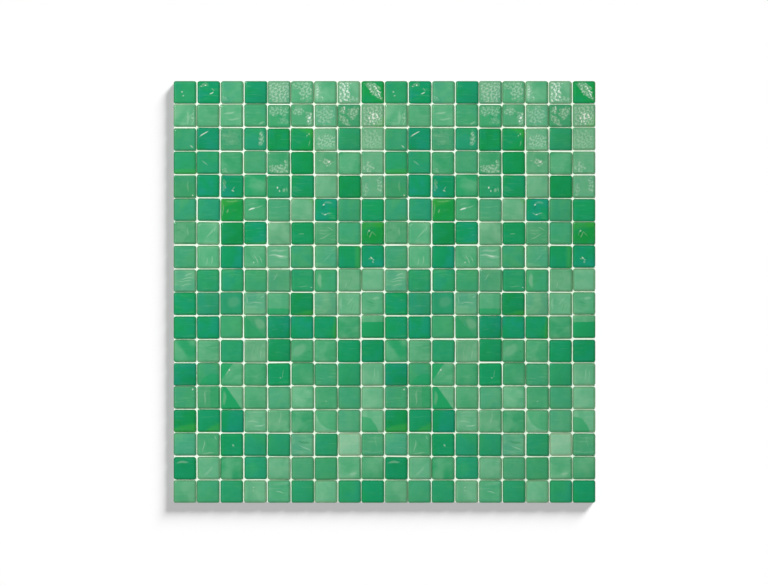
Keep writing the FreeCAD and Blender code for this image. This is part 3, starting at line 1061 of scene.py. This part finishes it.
def melt_colour(tree, flow, place):
    """The colour of the melt itself: clouds, a deeper tone, drawn threads, the tinge and the crease."""
    clouds = mottle(tree, flow, Scale=0.07, Low=0.36, High=0.64, Distortion=0.5)
    body = mixed(tree, clouds, attribute(tree, "glass", "Color"), attribute(tree, "swirl", "Color"))
    deep = mottle(tree, flow, Scale=0.17, Low=0.32, High=0.68, Detail=4.0, Distortion=0.4)
    body = laid_on(tree, body, deep, DEEPER, strength=0.4, blend="MULTIPLY")

    drawn = node(tree, "Mapping", {"Vector": flow, "Scale": (0.16, 1.1, 1.0)}).outputs[0]
    thread = mottle(tree, drawn, Scale=0.5, Low=0.52, High=0.74, Detail=4.0, Distortion=0.9)
    thread = maths(tree, "MULTIPLY", thread, attribute(tree, "streaks"))
    body = laid_on(tree, body, thread, GLASSES["milk"])

    waver = maths(tree, "MULTIPLY", clouds, WAVER)
    tinged = circle_mask(tree, place, "tinge", TINGE_BORDER, waver)
    body = laid_on(tree, body, tinged, YELLOW_GREEN, strength=0.35)
    creased = circle_mask(tree, place, "crease", CREASE_BORDER, waver)
    creased = maths(tree, "MULTIPLY", creased, attribute(tree, "crease_depth"))
    return laid_on(tree, body, creased, GLASSES["emerald"])


print("what a deep place leaves of red, green and blue:", DEEPER)

# %% [markdown]
# A smooth gloss lies over the colour. Its roughness changes a little, pale marks are smoother than the
# rest, and a low bump keeps the reflections from being as straight as in a mirror.

# %% The pressed glass
# Where veil, slash and smear fall on wrinkles they are a painted highlight on the crests and painted shade
# in the hollows.
FULL_VEIL_AND_HIGHLIGHT = 0.6  # the mark at which the veil is complete and the slash begins
FULL_SLASH_AND_GLINT = 1.1
FULL_SMEAR_AND_SHADE = -0.9
# where the painted shade along the rim begins, and where it is full
RIM_SHADE_FROM = 1.5  # millimetres in from the outline
RIM_SHADE_FULLY = 0.6
FLANK_FROM = 0.5  # millimetres below the face
FLANK_FULLY = 0.85
GLOSS = 0.15  # the roughness of the smoothest glass
WORN_ROUGHER = 0.08
VEIL_SMOOTHER = 0.1
SWELL = 0.12 * MM  # the height of the low bump
FINE_SWELL = 0.06  # the share of it that the finer one has


def build_glass():
    """The material of all chips. Everything that differs from chip to chip comes from their attributes."""
    material, tree, shader = new_material("pressed_glass", IOR=1.5)
    flow = attribute(tree, "flow", "Vector")
    place = node(tree, "SeparateXYZ", {0: attribute(tree, "place", "Vector")})
    body = melt_colour(tree, flow, place)

    # painted sheen: the wrinkled patch is made paler, as the lamp on its wrinkles would make it
    body = laid_on(tree, body, attribute(tree, "skin"), WRINKLE_SHEEN, strength=0.42)
    # the marks of the glass, and on wrinkled chips the painted highlight on the crests and painted shade in
    # the hollows
    mark_and_relief_shading = attribute(tree, "mark_and_relief_shading")
    veil_and_highlight = maths(tree, "MULTIPLY", soft_step(tree, mark_and_relief_shading, 0.0, FULL_VEIL_AND_HIGHLIGHT), 0.4)
    body = laid_on(tree, body, veil_and_highlight, VEIL_AND_HIGHLIGHT)
    body = laid_on(tree, body, soft_step(tree, mark_and_relief_shading, FULL_VEIL_AND_HIGHLIGHT, FULL_SLASH_AND_GLINT), SLASH_AND_GLINT, strength=0.75)
    smear_and_shade = soft_step(tree, mark_and_relief_shading, 0.0, FULL_SMEAR_AND_SHADE)
    body = laid_on(tree, body, smear_and_shade, SMEAR_AND_SHADE, strength=0.6, blend="MULTIPLY")

    # painted shade: the glass is darkened all round along the rim of the face and over the arris
    rounded = soft_step(tree, attribute(tree, "rim"), RIM_SHADE_FROM, RIM_SHADE_FULLY)
    body = laid_on(tree, body, rounded, RIM_SHADE, blend="MULTIPLY")
    # painted light: below the arris the flank is made paler, as light through the glass would make it
    flank = soft_step(tree, place.outputs[2], FLANK_FROM, FLANK_FULLY)
    body = laid_on(tree, body, flank, FLANK_PAINTED_LIGHT, strength=0.7)
    tree.links.new(body, shader.inputs["Base Color"])

    worn = mottle(tree, flow, Scale=0.5, Low=0.3, High=0.8, Detail=3.0)
    roughness = maths(tree, "MULTIPLY_ADD", worn, WORN_ROUGHER, GLOSS)
    roughness = maths(tree, "MULTIPLY_ADD", veil_and_highlight, -VEIL_SMOOTHER, roughness)
    tree.links.new(roughness, shader.inputs["Roughness"])
    slow = node(tree, "TexNoise", {"Vector": flow, "Scale": 0.22, "Detail": 1.5}).outputs[0]
    quick = node(tree, "TexNoise", {"Vector": flow, "Scale": 1.6, "Detail": 2.0}).outputs[0]
    height = maths(tree, "MULTIPLY_ADD", quick, FINE_SWELL, slow)
    bump = node(tree, "Bump", {"Height": height, "Distance": SWELL})
    tree.links.new(bump.outputs[0], shader.inputs["Normal"])
    return material


pressed_glass = build_glass()
for row in glass_rows:
    row.data.materials.append(pressed_glass)
print("nodes in the glass:", len(pressed_glass.node_tree.nodes))

# %% [markdown]
# The filler is a fine cement paste, wiped off while wet, so it is matt and slightly sandy. Its solid has
# the right shape already, so it stays and only gets a finish. A node of the frame lies in the sheet's own
# coordinates, so its pattern can read Object coordinates, made into millimetres.

# %% The filler
WIPED_PASTE = linear(241, 253, 239)
DRIED_PASTE = linear(236, 249, 227)
SAND = linear(205, 208, 172)
WIPED_ROUGHNESS = 0.8
DRIED_ROUGHER = 0.12
GRAIN_HEIGHT = 0.08 * MM


def in_millimetres(tree):
    """Object coordinates, counted in millimetres."""
    where = node(tree, "TexCoord").outputs["Object"]
    return node(tree, "Mapping", {"Vector": where, "Scale": (1 / MM, 1 / MM, 1 / MM)}).outputs[0]


def build_paste():
    """The material of the joint filler."""
    material, tree, shader = new_material("cement_paste", IOR=1.45)
    where = in_millimetres(tree)
    blotch = mottle(tree, where, Scale=0.09, Low=0.35, High=0.7, Detail=3.0)
    body = mixed(tree, blotch, colour(WIPED_PASTE), colour(DRIED_PASTE))
    grains = mottle(tree, where, Scale=3.5, Low=0.56, High=0.72)
    body = laid_on(tree, body, grains, SAND, strength=0.35)
    tree.links.new(body, shader.inputs["Base Color"])
    roughness = maths(tree, "MULTIPLY_ADD", blotch, DRIED_ROUGHER, WIPED_ROUGHNESS)
    tree.links.new(roughness, shader.inputs["Roughness"])
    relief = node(tree, "TexNoise", {"Vector": where, "Scale": 2.6, "Detail": 3.0}).outputs[0]
    bump = node(tree, "Bump", {"Height": relief, "Distance": GRAIN_HEIGHT})
    tree.links.new(bump.outputs[0], shader.inputs["Normal"])
    return material


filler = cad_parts["joint_filler"]
cement_paste = build_paste()
for slot in filler.material_slots:
    slot.material = cement_paste
print("triangles of the filler:", len(filler.data.polygons))

# %% [markdown]
# The net on the back is a scrim of flat glass-fibre yarns. A yarn is a profile carried along a path: a lens
# that is thin at its sides, whose width swells and shrinks a little because the fibres spread, and whose
# path wanders by a hair. All yarns of a layer are one array. It stays inside the layer that the solid has.

# %% The net
YARN_PROFILE = 8
YARN_STATIONS = 15
YARN_SPREAD = 0.07
YARN_WANDER = 0.12 * MM
YARN_EDGE = 0.2  # 0 makes the profile an ellipse, and more makes it a lens that is thin at its sides
YARN_SEED = 8
YARN_SHARP_ANGLE = math.radians(60)
MICROMETRE_DIGITS = 6


def yarn_places(mesh, across):
    """Where the yarns of a layer lie, read as the middles of the solids' sides, and their half width."""
    points = read_array(mesh.vertices, "co", 3)[:, across]
    edges = np.unique(np.round(points, MICROMETRE_DIGITS))
    return (edges[0::2] + edges[1::2]) / 2, (edges[1::2] - edges[0::2]).max() / 2


def build_yarns(name, new_name, along):
    """One layer of yarns that run along the given axis, 0 for X and 1 for Y."""
    low, high = (np.array(corner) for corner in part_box(name))
    middles, half_width = yarn_places(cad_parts[name].data, 1 - along)
    dice = np.random.default_rng(YARN_SEED + along)
    station = np.linspace(low[along], high[along], YARN_STATIONS)[None, :, None]
    angle = np.linspace(0, 2 * math.pi, YARN_PROFILE, endpoint=False)[None, None, :]
    spread = 1 - YARN_SPREAD * (1 + dice.uniform(-1, 1, (len(middles), YARN_STATIONS, 1)))
    wander = YARN_WANDER * dice.uniform(-1, 1, (len(middles), YARN_STATIONS, 1))
    half_thickness = (high[2] - low[2]) / 2
    across = middles[:, None, None] + wander + half_width * spread * np.cos(angle)
    height = low[2] + half_thickness * (1 + np.sin(angle) * np.abs(np.sin(angle)) ** YARN_EDGE)
    height = np.broadcast_to(height, across.shape)
    station = np.broadcast_to(station, across.shape)
    order = (station, across) if along == 0 else (across, station)
    points = np.stack([order[0], order[1], height], axis=-1).reshape(-1, 3)

    number = np.arange(len(points)).reshape(across.shape)
    here, there = number[:, :-1], number[:, 1:]
    quads = np.stack([here, there, np.roll(there, -1, axis=2), np.roll(here, -1, axis=2)], axis=-1)
    first, last = number[:, 0, ::-1], number[:, -1]
    tables = [quads.reshape(-1, 4), first, last]
    if along == 0:
        tables = [table[:, ::-1] for table in tables]
    faces = sum((table.tolist() for table in tables), [])
    layer = add_piece(new_name, points, faces, YARN_SHARP_ANGLE)
    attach(layer, "root")
    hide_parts(name)
    return layer


weft = build_yarns("net_weft", "weft_yarns", along=0)
warp = build_yarns("net_warp", "warp_yarns", along=1)
print("faces in the net:", len(weft.data.polygons) + len(warp.data.polygons))

# %% [markdown]
# A yarn is a bundle of hundreds of fibres that are finer than any mesh could show. So they are left to the
# material: the mottle, stretched along the yarn, draws them as long light and dark lines. A trace of the
# resin that stiffens the net shows as yellowish blotches. The back is seldom seen, so the roughness is one
# plain value.

# %% The fibres of the net
FIBRE_STRETCH = 0.06
PALE_FIBRE = linear(240, 242, 236)
DIM_FIBRE = linear(206, 212, 200)
RESIN = linear(222, 220, 186)


def build_fibre(name, along):
    """The material of one layer: pale fibres that run along it, with a trace of resin."""
    material, tree, shader = new_material(name, Roughness=0.55)
    stretch = (FIBRE_STRETCH, 1.0, 1.0) if along == 0 else (1.0, FIBRE_STRETCH, 1.0)
    where = node(tree, "Mapping", {"Vector": in_millimetres(tree), "Scale": stretch}).outputs[0]
    fibre = mottle(tree, where, Scale=9.0, Low=0.35, High=0.65)
    body = mixed(tree, fibre, colour(PALE_FIBRE), colour(DIM_FIBRE))
    resin = mottle(tree, in_millimetres(tree), Scale=0.2, Low=0.5, High=0.7)
    body = laid_on(tree, body, resin, RESIN, strength=0.3)
    tree.links.new(body, shader.inputs["Base Color"])
    return material


weft.data.materials.append(build_fibre("weft_fibre", 0))
warp.data.materials.append(build_fibre("warp_fibre", 1))
print("materials:", [material.name for material in bpy.data.materials])

# %% [markdown]
# The sheet lies on a plain white floor. The floor shows white to the camera and keeps the sheet's shadow,
# which falls to the lower left of the picture. The floor's own paint is grey, and its lamp makes up for
# that, so that the green light from the glass hardly tints the shadow.

# %% Floor
FLOOR_SIZE = 8.0
FLOOR_DROP = 0.05 * MM  # below the net, so that the two don't lie in one plane
FLOOR_PAINT = 0.3
FLOOR_GLOW = 0.43


def seen_directly(tree):
    """1 for rays from the camera, for reflections and through glass, and 0 for light that spreads."""
    path = node(tree, "LightPath").outputs
    seen = maths(tree, "MAXIMUM", path["Is Camera Ray"], path["Is Glossy Ray"])
    return maths(tree, "MAXIMUM", seen, path["Is Transmission Ray"])


def cleared_tree(owner):
    """The empty node tree of a material or a world."""
    owner.use_nodes = True
    owner.node_tree.nodes.clear()
    return owner.node_tree


floor_mesh = bpy.data.meshes.new("floor")
corner_signs = ((-1, -1), (1, -1), (1, 1), (-1, 1))
floor_corners = [(x * FLOOR_SIZE / 2, y * FLOOR_SIZE / 2, 0) for x, y in corner_signs]
floor_mesh.from_pydata(floor_corners, [], [(0, 1, 2, 3)])
floor = add_object("floor", floor_mesh)
floor.location.z = -FLOOR_DROP
white_floor = bpy.data.materials.new("white_floor")
floor_tree = cleared_tree(white_floor)
paint = node(floor_tree, "BsdfDiffuse", {"Color": colour([FLOOR_PAINT] * 3)})
glow_strength = maths(floor_tree, "MULTIPLY", seen_directly(floor_tree), FLOOR_GLOW)
glow = node(floor_tree, "Emission", {"Strength": glow_strength})
both = node(floor_tree, "AddShader", {0: paint.outputs[0], 1: glow.outputs[0]})
node(floor_tree, "OutputMaterial", {"Surface": both.outputs[0]})
floor_mesh.materials.append(white_floor)
print("the floor is", FLOOR_SIZE, "m wide and shines with", FLOOR_GLOW)

# %% [markdown]
# All round stand white walls, and reflections see them too. Only the ceiling is darker: a flat face that is
# seen from above mirrors it, and a white one would lie over the glass like a veil. The light that the walls
# send to the sheet is much weaker than what they show, because the lamps do that work.

# %% World
SKY = 0.12  # the light that reaches the sheet
CEILING = 0.12  # what reflections see of it, where 1 is white
CEILING_FROM = 0.45  # how steeply a ray has to rise to reach the ceiling, as the sine of its angle
WALL_UP_TO = 0.15

world = bpy.data.worlds.new("studio")
bpy.context.scene.world = world
world_tree = cleared_tree(world)
direction = node(world_tree, "TexCoord").outputs["Generated"]
upwards = node(world_tree, "SeparateXYZ", {0: direction}).outputs[2]
wall = soft_step(world_tree, upwards, CEILING_FROM, WALL_UP_TO)
backdrop = maths(world_tree, "MULTIPLY_ADD", wall, 1 - CEILING, CEILING)
strength = node(world_tree, "Mix", {0: seen_directly(world_tree), 2: SKY, 3: backdrop}).outputs[0]
sky = node(world_tree, "Background", {"Color": colour([1, 1, 1]), "Strength": strength})
node(world_tree, "OutputWorld", {"Surface": sky.outputs[0]})
bpy.context.scene.view_settings.view_transform = "Standard"
print("light of the world on the sheet:", SKY)

# %% [markdown]
# Two lamps do the rest. A softbox at the upper left lights the chips. It is what the wrinkles throw back,
# and it leaves the right and the lower arrises dark. A low lamp at the upper right lights the floor alone,
# and gives the shadow. Light linking keeps each lamp to its own surfaces.

# %% Lamps
KEY_SHARE = 0.94  # how bright the softbox alone makes a white card that lies flat, where 1 is white
KEY_ELEVATION = 45
KEY_DIRECTION = 139  # from +X towards +Y
KEY_DISTANCE = 3.5
KEY_SIZE = 0.9
LOW_STRENGTH = 17.7
LOW_ELEVATION = 18.5
LOW_DIRECTION = 51
LOW_DISTANCE = 3.0  # only where it hangs, because a sun lamp is as strong from anywhere
LOW_SPREAD = 20.0


def lamp(name, kind, elevation, direction, distance, lit, **settings):
    """A lamp that shines at the middle of the sheet, and only on the objects that are lit.

    It hangs at the distance, up by the elevation and round by the direction, both in degrees.
    """
    data = bpy.data.lights.new(name, kind)
    for setting, value in settings.items():
        setattr(data, setting, value)
    made = add_object(name, data)
    rise, way = math.radians(elevation), math.radians(direction)
    level = distance * math.cos(rise)
    made.location = (level * math.cos(way), level * math.sin(way), distance * math.sin(rise))
    made.rotation_euler = (math.pi / 2 - rise, 0, way + math.pi / 2)
    receivers = bpy.data.collections.new(name + "_lights")
    for each in lit:
        receivers.objects.link(each)
    made.light_linking.receiver_collection = receivers


# an area lamp of power P sends P / pi watts straight ahead for each steradian, and a white card returns
# what falls on it over pi, so that the card shows the share of white that is asked for
key_power = KEY_SHARE * math.pi ** 2 * KEY_DISTANCE ** 2 / math.sin(math.radians(KEY_ELEVATION))
lamp("softbox", "AREA", KEY_ELEVATION, KEY_DIRECTION, KEY_DISTANCE, glass_rows + [weft, warp, filler],
     energy=key_power, size=KEY_SIZE)
lamp("floor_lamp", "SUN", LOW_ELEVATION, LOW_DIRECTION, LOW_DISTANCE, [floor],
     energy=LOW_STRENGTH, angle=math.radians(LOW_SPREAD))
print("softbox in watts:", round(key_power, 2))
